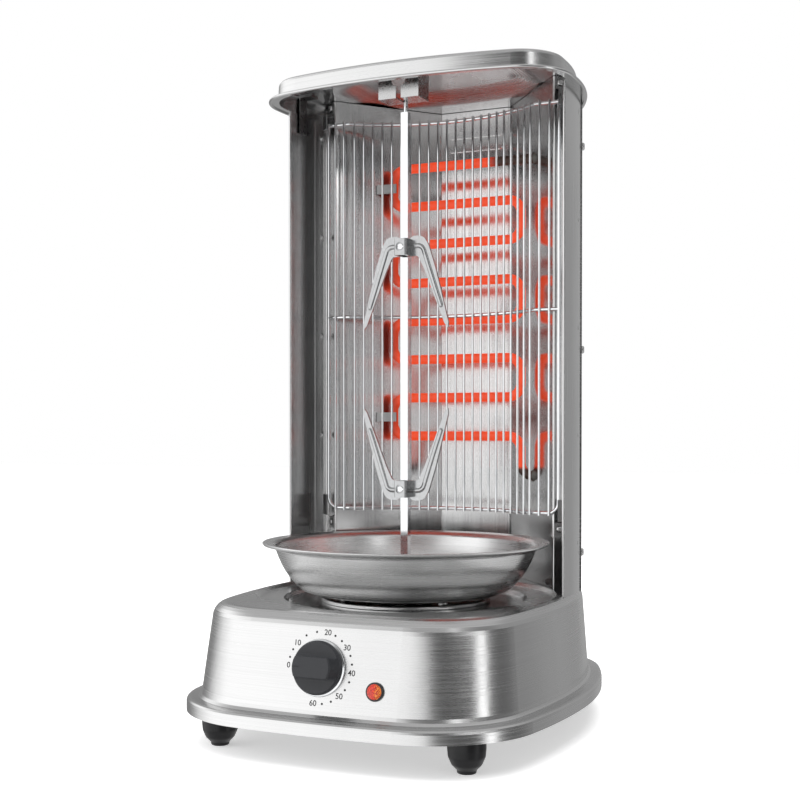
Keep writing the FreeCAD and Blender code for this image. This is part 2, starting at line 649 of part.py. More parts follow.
def right_wall():
    """The right side sheet: hemmed front edge, foot trimmed to the base's rounded top."""
    band = wall_band(0.0, SHEET, TOP_Z - 12, TOWER_TOP)
    band = band.common(box((60, 140), (TOWER_WIDE_Y, WALL_END_Y), (0, 600)))
    hem = box((TOWER_HALF - 2.4, TOWER_HALF - SHEET + 0.3), (TOWER_WIDE_Y, TOWER_WIDE_Y + 9),
              (TOP_Z - 12, TOWER_TOP))
    edge = Part.makeCylinder(1.2, TOWER_TOP - TOP_Z + 12, V(TOWER_HALF - 1.2, TOWER_WIDE_Y, TOP_Z - 12), UP)
    wall = band.fuse([hem, edge]).cut(base_solid())
    wall = wall.cut(through_side(WALL_SCREW_Y, WALL_SCREW_Z)).cut(through_side(RIVET_Y, RIVET_Z))
    return max(wall.Solids, key=lambda s: s.Volume)


def rear_cover():
    """The rear sheet: wraps both rear corners over the side walls, louvred near its top and foot."""
    band = wall_band(-0.9, 0.0, TOP_Z - 12, TOWER_TOP - 1.2)      # clear of the lid's bead
    band = band.common(box((-140, 140), (WALL_END_Y - 16, 200), (0, 600))).cut(base_solid())
    band = max(band.Solids, key=lambda s: s.Volume)
    for z in VENT_ROWS:
        for x in (-40, 0, 40):
            corners = [(x - 15, z - 2), (x + 15, z - 2), (x + 15, z + 2), (x - 15, z + 2)]
            slot = prism([(across, 140, up) for across, up in corners], (0, 60, 0), 1.9)
            band = band.cut(slot)
    holes = through_side(WALL_SCREW_Y, WALL_SCREW_Z)
    return band.cut(holes).cut(mirrored(holes))


def wall_screws():
    """Screws that hold the rear cover on the side walls, three a side."""
    point, out = side_point(WALL_SCREW_Y)
    screws = []
    for z in WALL_SCREW_Z:
        screws += both(cap_screw(point + out + V(0, 0, z), out, 3.2, 1.8, 1.5, 6.0))
    return screws


def wall_rivets():
    """Rivets through the walls and the reflectors' laps: domed inside, flush outside."""
    point, out = side_point(RIVET_Y)
    grip = SHEET + REFLECTOR_T
    rivets = []
    for z in RIVET_Z:
        rivet = revolved([(0, -grip), (1.5, -grip), (1.5, 0), (2.9, 0), (2.9, 0.3), (0, 1.5)])
        place = FreeCAD.Rotation(UP, out * -1)
        rivet.Placement = FreeCAD.Placement(point - out * (grip + 0.25) + V(0, 0, z), place)
        rivets += both(rivet)
    return rivets


def folded_sheet(points, thickness, low, high, radius=2.0):
    """An upright sheet folded along a plan line; the thickness lies to the line's left."""
    count = len(points)
    flat = [V(x, y, 0) for x, y in points]
    shifted = []
    for i in range(count):
        normals = []
        for a, b in ((i - 1, i), (i, i + 1)):
            if 0 <= a and b < count:
                run = (flat[b] - flat[a]).normalize()
                normals.append(V(-run.y, run.x, 0))
        mean = normals[0] if len(normals) == 1 else (normals[0] + normals[1]).normalize()
        shifted.append(flat[i] + mean * (thickness / mean.dot(normals[0])))
    outline = [(p.x, p.y, low) for p in flat] + [(p.x, p.y, low) for p in reversed(shifted)]
    inner = [0] + [radius] * (count - 2) + [0]
    return prism(outline, (0, 0, high - low), inner + list(reversed(inner)))


def reflector_right(with_terminals=True):
    """Right reflector panel: lap on the wall, flange, polished cheek, and a lap behind the rear panel."""
    low = TOP_Z + 0.2
    lap_front, lap_rear = (side_point(y)[0] - side_point(y)[1] * (SHEET + 0.1) for y in LAP)
    rear = REFLECTOR_REAR
    points = [(rear[0] - 12, rear[1]), rear, FLANGE_FRONT]
    points += [(lap_rear.x, lap_rear.y), (lap_front.x, lap_front.y)]
    panel = folded_sheet(points, -REFLECTOR_T, low, REFLECTOR_TOP, 1.6)
    panel = panel.cut(box((LID_CLEAR_X, 130), (60, 100), (TOWER_TOP - 0.5, REFLECTOR_TOP + 1)))
    panel = panel.cut(through_side(RIVET_Y, RIVET_Z)).cut(base_solid())
    for z in TERMINAL_Z if with_terminals else ():
        at = V(cheek_point(HEATER_Y).x - 20, HEATER_Y, z)
        panel = panel.cut(Part.makeCylinder(BUSH_R + 0.1, 40, at, V(1, 0, 0)))
    for z in FLANGE_SCREW_Z:
        panel = panel.cut(Part.makeCylinder(1.6, 20, V(*FLANGE_SCREW, z) - FLANGE_OUT * 10, FLANGE_OUT))
    return max(panel.Solids, key=lambda s: s.Volume)


def reflector_left():
    """The mirror image, without the heater's holes and with those of its clips."""
    panel = mirrored(reflector_right(False))
    for z in HEATER_CLIP_Z:
        at, out = mirrored(Part.Vertex(cheek_point(CLIP_FOOT_Y))).Point, V(-CHEEK_IN.x, CHEEK_IN.y, 0)
        panel = panel.cut(Part.makeCylinder(1.6, 20, at + V(0, 0, z) - out * 10, out))
    return panel


CHEEK_RUN = (V(*REFLECTOR_REAR, 0) - V(*FLANGE_FRONT, 0)).normalize()
CHEEK_IN = V(CHEEK_RUN.y, -CHEEK_RUN.x, 0) * -1          # towards the spit
FLANGE_RUN = V(15, 15, 0).normalize()
FLANGE_OUT = V(FLANGE_RUN.y, -FLANGE_RUN.x, 0)
FLANGE_SCREW = (FLANGE_FRONT[0] + FLANGE_RUN.x * 4.8, FLANGE_FRONT[1] + FLANGE_RUN.y * 4.8)
FLANGE_SCREW_Z = (513.5, 153.0)
HOOK_Z = (500.0, 172.0)
CLIP_STAND = 6.1            # how far the hooks stand off the flange, past the frame's upright
TERMINAL_Z = (HEATER_TOP, HEATER_TOP - HEATER_PITCH * (HEATER_BARS - 1))


def cheek_point(y):
    """A point of the right cheek's line at the given depth."""
    return V(*FLANGE_FRONT, 0) + CHEEK_RUN * ((y - FLANGE_FRONT[1]) / CHEEK_RUN.y)


def reflector_rear():
    """The rear reflector: a flat polished sheet with pressed ribs near its top."""
    half = REFLECTOR_REAR[0] - 2.0
    y = REFLECTOR_REAR[1] - 2 * REFLECTOR_T
    sheet = box((-half, half), (y, y + REFLECTOR_T), (TOP_Z + 0.2, REFLECTOR_TOP))
    for z in RIB_Z:
        rib = prism([(-half + 5, y - 2.0, z - 3), (half - 5, y - 2.0, z - 3), (half - 5, y - 2.0, z + 3),
                     (-half + 5, y - 2.0, z + 3)], (0, 2.2, 0), 2.9)
        sheet = sheet.fuse(rib)
    return sheet


def lid_block(thickness):
    """The lid's outer form, or its hollow when the thickness is taken off: wall and crown."""
    wall = LID_LIP + thickness
    edge = 3.0
    base = LID_TOP_Z - edge - thickness
    levels = [(LID_LIP_Z + 0.4 - 4 * thickness, wall)]
    for step in (0, 30, 60, 90):
        a = math.radians(step)
        levels.append((base + edge * math.sin(a), wall + 0.8 + edge * (1 - math.cos(a))))
    rise = [(LID_TOP_Z - thickness - 0.3, 0.0)]
    for step in range(0, 181, 15):                 # half a cosine wave, from the margin to the top
        s = (1 - math.cos(math.radians(step))) / 2
        rise.append((LID_TOP_Z - thickness + LID_CROWN * s, CROWN_RUN * step / 180.0 + 0.2))
    return LID_PLAN.stack(levels).fuse(CROWN_PLAN.stack(rise))


def lid():
    """The pressed lid: rolled lip, upright wall and a crowned top."""
    body, inside = lid_block(0.0), lid_block(SHEET)
    bead = 1.3
    ring = []
    for step in range(-90, 91, 30):
        a = math.radians(step)
        ring.append((LID_LIP_Z + 0.4 + bead * math.sin(a), bead * (1 - math.cos(a))))
    rolled = LID_PLAN.stack(ring).cut(LID_PLAN.prism(LID_LIP_Z - 3, LID_LIP_Z + 4, 2 * bead))
    ledge = LID_PLAN.prism(LID_LIP_Z, LID_LIP_Z + 1.0, bead)
    ledge = ledge.cut(LID_PLAN.prism(LID_LIP_Z - 2, LID_LIP_Z + 2, LID_LIP + SHEET))
    pressed = body.cut(inside).fuse([rolled, ledge])
    for s in (-1, 1):
        at = V(s * BRACKET_SCREW[0], BRACKET_SCREW[1], LID_TOP_Z - 10)
        pressed = pressed.cut(Part.makeCylinder(1.6, 20, at, UP))
    return pressed


def spit_bracket():
    """The folded box under the lid: keyhole slot in front, notched floor that steadies the pin."""
    t = 1.2
    x, front, back, low, top = 17.0, -14.5, 6.0, 492.0, LID_TOP_Z - SHEET
    face = box((-x, x), (front, front + t), (low, top))
    floor = box((-x, x), (front, back), (low, low + t))
    cheeks = [box(sorted((s * x, s * (x - t))), (front, back), (low, top)) for s in (-1, 1)]
    tabs = [box(sorted((s * (x - t), s * (x + 9))), (front, back), (top - t, top)) for s in (-1, 1)]
    bracket = face.fuse([floor] + cheeks + tabs).removeSplitter()
    corners = [(-6, low + 9), (6, low + 9), (6, low + 24), (-6, low + 24)]
    key = prism([(across, front - 3, up) for across, up in corners], (0, 6, 0), [5.0, 5.0, 1.5, 1.5])
    neck = box((-2.1, 2.1), (front - 3, front + 4), (low - 1, low + 12))
    notch = box((-2.1, 2.1), (front - 3, 0), (low - 1, low + t + 1)).fuse(
        Part.makeCylinder(2.1, t + 2, V(0, 0, low - 1), UP))
    for s in (-1, 1):
        at = V(s * BRACKET_SCREW[0], BRACKET_SCREW[1], top - 5)
        bracket = bracket.cut(Part.makeCylinder(1.6, 10, at, UP))
    return bracket.cut(key).cut(neck).cut(notch)


def bracket_screws():
    top = LID_TOP_Z - SHEET
    x, y = BRACKET_SCREW
    return [cap_screw(V(s * x, y, top - 1.2), V(0, 0, -1), 3.0, 1.6, 1.5, 2.6) for s in (-1, 1)]


def lid_angles():
    """Four angles, two on the side walls and two on the rear cover, that the lid is welded to."""
    t, top, low = 1.2, LID_TOP_Z - SHEET, TOWER_TOP - 16
    side = side_point(56.0)[0].x - SHEET - 0.2
    rear = TOWER_REAR - 6.5
    side_leg, side_shelf = box((side - t, side), (44, 56), (low, top)), box((side - 12, side), (44, 56), (top - t, top))
    rear_leg, rear_shelf = box((44, 56), (rear - t, rear), (low, top)), box((44, 56), (rear - 12, rear), (top - t, top))
    skin = lid_block(0.0).cut(lid_block(SHEET))
    angles = both(side_leg.fuse(side_shelf)) + both(rear_leg.fuse(rear_shelf))
    return [a.removeSplitter().cut(skin) for a in angles]


# ---- grille ---------------------------------------------------------------------------------
GRILLE_R = ((GRILLE_ARC_Y - GRILLE_EDGE_Y) ** 2 + GRILLE_ARC_HALF ** 2) / (2 * (GRILLE_ARC_Y - GRILLE_EDGE_Y))
GRILLE_MIDDLE_Y = GRILLE_ARC_Y - GRILLE_R
GRILLE_ANGLE = math.asin(GRILLE_ARC_HALF / GRILLE_R)


def grille_point(angle, z, inset=0.0):
    r = GRILLE_R - inset
    return V(r * math.sin(angle), GRILLE_MIDDLE_Y + r * math.cos(angle), z)


def cross_wire(z, half, radius, inset=0.0):
    """One horizontal wire: straight wings and a bowed middle."""
    left, mid, right = (grille_point(a, z, inset) for a in (-GRILLE_ANGLE, 0, GRILLE_ANGLE))
    edges = [Part.LineSegment(V(-half, left.y, z), left).toShape(), Part.Arc(left, mid, right).toShape(),
             Part.LineSegment(right, V(half, right.y, z)).toShape()]
    return edges, radius


def grille_frame():
    """The heavy wire: two uprights, rounded corners, bowed foot, and bowed cross wires."""
    bend = 9.0
    low, high = GRILLE_BOTTOM, GRILLE_TOP
    y = GRILLE_EDGE_Y
    edges, _ = cross_wire(low, GRILLE_HALF - bend, FRAME_R)
    pieces = []
    for s in (-1, 1):
        x = s * GRILLE_HALF
        corner = Part.Arc(V(x - s * bend, y, low), V(x - s * bend * (1 - math.sin(math.pi / 4)), y,
                          low + bend * (1 - math.cos(math.pi / 4))), V(x, y, low + bend)).toShape()
        upright = Part.LineSegment(V(x, y, low + bend), V(x, y, high + FRAME_R)).toShape()
        pieces.append(Part.Wire([corner, upright]))
    frame = tube(Part.Wire(edges[0]), FRAME_R)
    for part in [Part.Wire(edges[1]), Part.Wire(edges[2])] + pieces:
        frame = frame.fuse(tube(part, FRAME_R))
    for point in (edges[1].Vertexes[0].Point, edges[1].Vertexes[1].Point):
        frame = frame.fuse(Part.makeSphere(FRAME_R, point))
    for z in (GRILLE_MID, high):
        for edge in cross_wire(z, GRILLE_HALF, FRAME_R)[0]:
            frame = frame.fuse(tube(Part.Wire(edge), FRAME_R))
        for point in (edges[1].Vertexes[0].Point, edges[1].Vertexes[1].Point):
            frame = frame.fuse(Part.makeSphere(FRAME_R, V(point.x, point.y, z)))
    return frame


def grille_wires():
    """The thin upright wires, welded to the front of the cross wires."""
    lift = FRAME_R + WIRE_R - 0.3
    wires = []
    for k in range(ARC_WIRES):
        angle = GRILLE_ANGLE * (-1 + 2 * (k + 0.5) / ARC_WIRES)
        foot = grille_point(angle, GRILLE_BOTTOM - 2, lift)
        wires.append(Part.makeCylinder(WIRE_R, GRILLE_TOP - GRILLE_BOTTOM + 4, foot, UP))
    for k in range(WING_WIRES):
        x = GRILLE_ARC_HALF + (GRILLE_HALF - GRILLE_ARC_HALF) * (k + 0.5) / (WING_WIRES + 0.4)
        foot = V(x, GRILLE_EDGE_Y - lift, GRILLE_BOTTOM - 2)
        wire = Part.makeCylinder(WIRE_R, GRILLE_TOP - GRILLE_BOTTOM + 4, foot, UP)
        wires += both(wire)
    return wires


def grille_clips():
    """Four bent tabs screwed to the flanges; each hooks over one upright of the frame."""
    yaw = math.degrees(math.atan2(FLANGE_OUT.y, FLANGE_OUT.x))
    half, t, stand = 4.5, 1.0, CLIP_STAND
    clips = []
    for z_screw, z_hook in zip(FLANGE_SCREW_Z, HOOK_Z):
        s = 1 if z_hook > z_screw else -1
        path = [(0, z_screw - s * 5), (0, z_screw + s * 5), (stand, z_screw + s * 6.5), (stand, z_hook + s * 5)]
        back = [(x + t, z) for x, z in reversed(path)]
        clip = prism([(x, -half, z) for x, z in path + back], (0, 2 * half, 0))
        clip = clip.cut(Part.makeCylinder(1.6, 20, V(-10, 0, z_screw), V(1, 0, 0)))
        clip = turned(clip, yaw)
        clips += both(moved(clip, *(V(*FLANGE_SCREW, 0) + FLANGE_OUT * REFLECTOR_T)))
    return clips


def flange_screws():
    screws = []
    for z in FLANGE_SCREW_Z:
        head = V(*FLANGE_SCREW, z) + FLANGE_OUT * (REFLECTOR_T + 1.0)
        screws += both(cap_screw(head, FLANGE_OUT, 3.0, 1.8, 1.5, 5.0))
    return screws


# ---- heater ---------------------------------------------------------------------------------
def heater():
    """The serpentine tube: bars joined by U bends, with cold ends through the right cheek."""
    exit_x = cheek_point(HEATER_Y).x + 22
    points = [(exit_x, HEATER_Y, HEATER_TOP)]
    for k in range(HEATER_BARS - 1):
        side = -1 if k % 2 == 0 else 1
        for z in (HEATER_TOP - HEATER_PITCH * k, HEATER_TOP - HEATER_PITCH * (k + 1)):
            points.append((side * HEATER_HALF, HEATER_Y, z))
    points.append((exit_x, HEATER_Y, HEATER_TOP - HEATER_PITCH * (HEATER_BARS - 1)))
    return tube(rounded_wire(points, HEATER_BEND), HEATER_R)


def heater_bushes():
    """Ceramic bushes that carry the tube's cold ends in the right cheek."""
    out = []
    x, bore = cheek_point(HEATER_Y).x, HEATER_R + 0.05
    for z in TERMINAL_Z:
        bush = revolved([(bore, -0.4), (BUSH_R, -0.4), (BUSH_R, 7.5), (7.5, 7.5), (7.5, 14.0), (bore, 14.0)],
                        [0, 0.3, 0, 1, 1, 0])
        bush.Placement = FreeCAD.Placement(V(x, HEATER_Y, z), FreeCAD.Rotation(UP, V(1, 0, 0)))
        out.append(bush)
    return out


def heater_clips():
    """Straps on the left cheek that hold the tube's left bends from the front."""
    y, half = HEATER_Y - HEATER_R - CLIP_T - 0.1, 4.0
    off = CHEEK_IN * (REFLECTOR_T + 0.05)
    foot = [cheek_point(CLIP_FOOT_Y + step) + off for step in (-6.5, 4.0)]
    points = [(HEATER_HALF - 4.5, y), (HEATER_HALF + 6.0, y)] + [(p.x, p.y) for p in foot]
    clips = []
    for z in HEATER_CLIP_Z:
        strap = folded_sheet(points, CLIP_T, z - half, z + half, 0.8)
        hole = Part.makeCylinder(1.6, 12, cheek_point(CLIP_FOOT_Y) + V(0, 0, z) - CHEEK_IN * 6, CHEEK_IN)
        clips.append(mirrored(strap.cut(hole)))
    return clips


def heater_clip_screws():
    screws = []
    for z in HEATER_CLIP_Z:
        head = cheek_point(CLIP_FOOT_Y) + V(0, 0, z) + CHEEK_IN * (REFLECTOR_T + 0.05 + CLIP_T)
        screws.append(mirrored(cap_screw(head, CHEEK_IN, 2.9, 1.5, 1.5, 5.0)))
    return screws


PARTS = {
    "base_housing": base_housing,
    "base_bottom": base_bottom,
    "feet": lambda: [foot(*p) for p in FEET],
    "foot_screws": lambda: [foot_screw(*p) for p in FEET],
    "pan_seat": pan_seat,
    "timer_knob": knob,
    "knob_ring": knob_ring,
    "timer_body": timer_body,
    "timer_shaft": timer_shaft,
    "lamp_bezel": lamp_bezel,
    "lamp_lens": lamp_lens,
    "drive_motor": drive_motor,
    "gear_head": gear_head,
    "motor_bracket": motor_bracket,
    "motor_screws": motor_screws,
    "drive_coupling": drive_coupling,
    "drive_bush": drive_bush,
    "terminal_block": terminal_block,
    "cord_gland": cord_gland,
    "drip_pan": drip_pan,
    "spit_rod": spit_rod,
    "upper_fork": lambda: fork(FORK_UP_Z, False),
    "lower_fork": lambda: fork(FORK_LOW_Z, True),
    "upper_fork_screw": lambda: fork_screw(FORK_UP_Z),
    "lower_fork_screw": lambda: fork_screw(FORK_LOW_Z),
    "left_wall": lambda: mirrored(right_wall()),
    "right_wall": right_wall,
    "rear_cover": rear_cover,
    "wall_screws": wall_screws,
    "wall_rivets": wall_rivets,
    "reflector_left": reflector_left,
    "reflector_right": reflector_right,
    "reflector_rear": reflector_rear,
    "lid": lid,
    "spit_bracket": spit_bracket,
    "bracket_screws": bracket_screws,
    "lid_angles": lid_angles,
    "grille_frame": grille_frame,
    "grille_wires": grille_wires,
    "grille_clips": grille_clips,
    "flange_screws": flange_screws,
    "heater_element": heater,
    "heater_bushes": heater_bushes,
    "heater_clips": heater_clips,
    "heater_clip_screws": heater_clip_screws,
}

os.makedirs("parts", exist_ok=True)
for name, make in PARTS.items():
    made = make()
    solids = made.Solids if isinstance(made, Part.Shape) else [s for m in made for s in m.Solids]
    print(name, len(solids), round(sum(s.Volume for s in solids)), all(s.isValid() for s in solids), flush=True)
    export(name, made)
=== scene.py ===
"""Upright rotisserie oven: materials, printed dial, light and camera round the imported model."""
import json
import math

import bmesh
import bpy
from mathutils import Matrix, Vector
from mathutils.bvhtree import BVHTree


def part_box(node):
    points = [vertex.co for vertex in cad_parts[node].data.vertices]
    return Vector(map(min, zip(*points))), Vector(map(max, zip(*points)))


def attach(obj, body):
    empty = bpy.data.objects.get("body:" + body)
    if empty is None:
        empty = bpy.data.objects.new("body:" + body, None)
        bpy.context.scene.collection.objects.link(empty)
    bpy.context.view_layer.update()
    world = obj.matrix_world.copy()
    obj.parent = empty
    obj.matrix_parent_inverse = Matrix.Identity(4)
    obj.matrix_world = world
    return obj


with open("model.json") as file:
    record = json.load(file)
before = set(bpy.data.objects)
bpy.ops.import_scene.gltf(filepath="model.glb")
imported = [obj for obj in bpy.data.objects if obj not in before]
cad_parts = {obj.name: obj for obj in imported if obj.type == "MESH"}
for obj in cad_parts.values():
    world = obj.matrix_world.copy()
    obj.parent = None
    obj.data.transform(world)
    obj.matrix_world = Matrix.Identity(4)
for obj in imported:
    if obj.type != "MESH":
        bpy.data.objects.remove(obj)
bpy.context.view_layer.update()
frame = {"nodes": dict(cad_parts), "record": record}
NODES = frame["nodes"]
SLOT_OF = {p["node"]: p["material_slot"] for p in frame["record"]["subparts"]}

# ---- places read from the model, in metres --------------------------------------------------
PAN_LOW, PAN_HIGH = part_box("drip_pan")
AXIS_Y = (PAN_LOW[1] + PAN_HIGH[1]) / 2             # the spit's axis, which is the pan's too
KNOB_LOW, KNOB_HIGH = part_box("timer_knob")
KNOB_X = (KNOB_LOW[0] + KNOB_HIGH[0]) / 2
RING_LOW, RING_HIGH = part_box("knob_ring")
DIAL_Z = (RING_LOW[2] + RING_HIGH[2]) / 2
HEATER_LOW, HEATER_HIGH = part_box("heater_element")
LAMP_LOW, LAMP_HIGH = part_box("lamp_lens")


# ---- node helpers ---------------------------------------------------------------------------
class Nodes:
    """A node tree under construction: short calls for the nodes used again and again."""

    def __init__(self, tree):
        self.tree = tree

    def node(self, kind, **settings):
        made = self.tree.nodes.new(kind)
        for key, value in settings.items():
            setattr(made, key, value)
        return made

    def link(self, source, target):
        self.tree.links.new(source, target)

    def fill(self, socket, value):
        """Links a socket, or sets it where the value is a plain number or colour."""
        if isinstance(value, bpy.types.NodeSocket):
            self.link(value, socket)
        else:
            socket.default_value = value

    def math(self, operation, a, b=0.0):
        made = self.node("ShaderNodeMath", operation=operation)
        self.fill(made.inputs[0], a)
        self.fill(made.inputs[1], b)
        return made.outputs[0]

    def between(self, factor, low, high, to_low, to_high, smooth=False):
        """The factor's run from low to high, carried over to another run and held at its ends."""
        made = self.node("ShaderNodeMapRange")
        if smooth:
            made.interpolation_type = "SMOOTHSTEP"
        self.link(factor, made.inputs["Value"])
        ends = {"From Min": low, "From Max": high, "To Min": to_low, "To Max": to_high}
        for key, value in ends.items():
            made.inputs[key].default_value = value
        return made.outputs["Result"]

    def mix(self, factor, first, second):
        """From the first colour to the second one; each is a socket or plain numbers."""
        made = self.node("ShaderNodeMix", data_type="RGBA")
        self.link(factor, made.inputs["Factor"])
        for key, colour in (("A", first), ("B", second)):
            self.fill(made.inputs[key], (*colour, 1) if isinstance(colour, tuple) else colour)
        return made.outputs["Result"]


class Shader(Nodes):
    """A material under construction."""

    def __init__(self, name):
        self.material = bpy.data.materials.new(name)
        self.material.use_nodes = True
        super().__init__(self.material.node_tree)
        self.bsdf = self.tree.nodes["Principled BSDF"]
        self.place = self.node("ShaderNodeTexCoord").outputs["Object"]

    def stretched(self, x, y, z):
        """Object coordinates in metres, stretched along each axis."""
        made = self.node("ShaderNodeVectorMath", operation="MULTIPLY")
        self.link(self.place, made.inputs[0])
        made.inputs[1].default_value = (x, y, z)
        return made.outputs[0]

    def axes(self):
        made = self.node("ShaderNodeSeparateXYZ")
        self.link(self.place, made.inputs[0])
        return made.outputs

    def turned_about_axis(self, scale):
        """Coordinates that stay the same all the way round the spit's axis."""
        x, y, z = self.axes()
        across = self.math("ADD", y, -AXIS_Y)
        squares = self.math("ADD", self.math("MULTIPLY", x, x), self.math("MULTIPLY", across, across))
        radius = self.math("SQRT", squares)
        made = self.node("ShaderNodeCombineXYZ")
        self.link(self.math("MULTIPLY", radius, scale), made.inputs[0])
        self.link(self.math("MULTIPLY", z, scale), made.inputs[1])
        return made.outputs[0]

    def noise(self, where, detail, roughness):
        made = self.node("ShaderNodeTexNoise")
        self.link(where, made.inputs["Vector"])
        made.inputs["Scale"].default_value = 1.0
        made.inputs["Detail"].default_value = detail
        made.inputs["Roughness"].default_value = roughness
        return made.outputs["Fac"]

    def spread(self, noise, low, high):
        """The middle of a noise's values, where nearly all of them lie, carried over to a run."""
        return self.between(noise, 0.3, 0.7, low, high)

    def bump(self, layers):
        """Bump from (height, strength, distance in metres) layers, one over the other."""
        below = None
        for height, strength, distance in layers:
            made = self.node("ShaderNodeBump")
            made.inputs["Strength"].default_value = strength
            made.inputs["Distance"].default_value = distance
            self.link(height, made.inputs["Height"])
            if below is not None:
                self.link(below, made.inputs["Normal"])
            below = made.outputs["Normal"]
        self.link(below, self.bsdf.inputs["Normal"])

    def feed(self, **sources):
        """Links sockets of the shader, such as Base_Color."""
        for key, source in sources.items():
            self.link(source, self.bsdf.inputs[key.replace("_", " ")])

    def set(self, **values):
        """Sets plain values on the shader's sockets."""
        for key, value in values.items():
            self.bsdf.inputs[key.replace("_", " ")].default_value = value


def grey(value, warmth=0.0):
    return (value * (1 + warmth), value, value * (1 - warmth))


# ---- materials ------------------------------------------------------------------------------
GRAINS = {                          # how a metal's drawn grain runs: noise per metre along x, y and z
    "level": (5, 5, 1500),
    "upright": (1100, 1100, 3),
    "even": (420, 420, 420),
}
ROUND_GRAIN = 1300                  # noise per metre across the turning marks of a spun sheet


def metal(name, shade, rough, grain, grain_bump, wave=0.0, warmth=0.0, patches=0.05):
    """Sheet or wire of metal: drawn grain in colour, roughness and bump, over slow patches."""
    s = Shader(name)
    where = s.turned_about_axis(ROUND_GRAIN) if grain == "round" else s.stretched(*GRAINS[grain])
    fine = s.noise(where, 4.0, 0.6)
    slow = s.noise(s.stretched(16, 16, 9), 3.0, 0.5)
    roughness = s.math("ADD", s.spread(fine, rough * 0.8, rough * 1.2), s.spread(slow, -patches, patches))
    colour = s.mix(s.spread(fine, 0, 1), grey(shade * 0.94, warmth), grey(shade * 1.06, warmth))
    s.feed(Base_Color=colour, Roughness=roughness)
    s.set(Metallic=1.0)
    layers = [(fine, grain_bump, 0.00012)]
    if wave:
        layers.insert(0, (s.noise(s.stretched(30, 30, 12), 2.0, 0.4), wave, 0.002))
    s.bump(layers)
    return s.material


def plastic(name, colour, rough, pits, shine=0.5):
    """Moulded plastic or rubber: fine spark-eroded texture and slight unevenness of gloss."""
    s = Shader(name)
    fine = s.noise(s.stretched(2600, 2600, 2600), 2.0, 0.5)
    slow = s.noise(s.stretched(60, 60, 60), 3.0, 0.5)
    dark, light = (tuple(c * level for c in colour) for level in (0.85, 1.15))
    roughness = s.math("ADD", s.spread(slow, rough * 0.85, rough * 1.15), s.spread(fine, -0.04, 0.04))
    s.feed(Base_Color=s.mix(slow, dark, light), Roughness=roughness)
    s.set(Specular_IOR_Level=shine)
    s.bump([(slow, 0.05, 0.0004), (fine, pits, 0.00006)])
    return s.material


def lens_red():
    """Red faceted lens of the neon lamp, lit from inside, with a painted amber glint on its right side.
    """
    s = Shader("lamp_red")
    facets = s.node("ShaderNodeTexVoronoi", feature="F1")
    s.link(s.stretched(330, 330, 330), facets.inputs["Vector"])
    edge = facets.outputs["Distance"]
    # painted highlight: an amber glint mixed into the glow on the lens's right side, where the facets'
    # middles lie
    right = s.between(s.axes()[0], LAMP_HIGH[0] - 0.0048, LAMP_HIGH[0] - 0.0030, 0.0, 1.0)
    painted_glint = s.math("MULTIPLY", right, s.between(edge, 0.25, 0.5, 1.0, 0.0))
    red = s.mix(s.between(edge, 0.2, 0.65, 0, 1), (0.95, 0.06, 0.02), (0.22, 0.004, 0.002))
    s.feed(Emission_Color=s.mix(painted_glint, red, (1.0, 0.62, 0.06)),
           Base_Color=s.mix(edge, (0.30, 0.02, 0.01), (0.10, 0.004, 0.004)),
           Roughness=s.between(edge, 0.0, 0.8, 0.10, 0.2))
    s.set(Emission_Strength=0.8, Coat_Weight=0.3, Coat_Roughness=0.05)
    s.bump([(edge, 0.5, 0.0006)])
    return s.material


def glowing_tube():
    """Heater sheath: orange-red along the bars, darker in the left bends, cold at its ends."""
    s = Shader("heater_glow")
    x, _, z = s.axes()
    grain = s.noise(s.stretched(120, 120, 120), 3.0, 0.6)
    scale = s.noise(s.stretched(900, 900, 900), 2.0, 0.5)
    left = s.between(x, HEATER_LOW[0] + 0.001, HEATER_LOW[0] + 0.012, 0.22, 1.0)
    top_row = s.between(z, HEATER_HIGH[2] - 0.012, HEATER_HIGH[2] - 0.009, 0.0, 1.0)
    low_row = s.between(z, HEATER_LOW[2] + 0.012, HEATER_LOW[2] + 0.009, 0.0, 1.0)
    ends = s.between(x, 0.028, 0.040, 0.0, 1.0)
    cold = s.math("MULTIPLY", s.math("MAXIMUM", top_row, low_row), ends)
    heat = s.math("MULTIPLY", left, s.math("SUBTRACT", 1.0, cold))
    heat = s.math("MULTIPLY", heat, s.spread(grain, 0.9, 1.06))
    ramp = s.node("ShaderNodeValToRGB")
    s.link(heat, ramp.inputs["Fac"])
    stops = ramp.color_ramp.elements
    stops[0].position, stops[0].color = 0.0, (0.0, 0.0, 0.0, 1)
    stops[1].position, stops[1].color = 1.0, (0.80, 0.055, 0.010, 1)
    stops.new(0.35).color = (0.20, 0.010, 0.004, 1)
    s.feed(Emission_Color=ramp.outputs["Color"],
           Base_Color=s.mix(grain, (0.035, 0.022, 0.018), (0.09, 0.05, 0.035)),
           Roughness=s.spread(scale, 0.45, 0.7))
    s.set(Emission_Strength=1.0)
    s.bump([(scale, 0.15, 0.0001)])
    return s.material


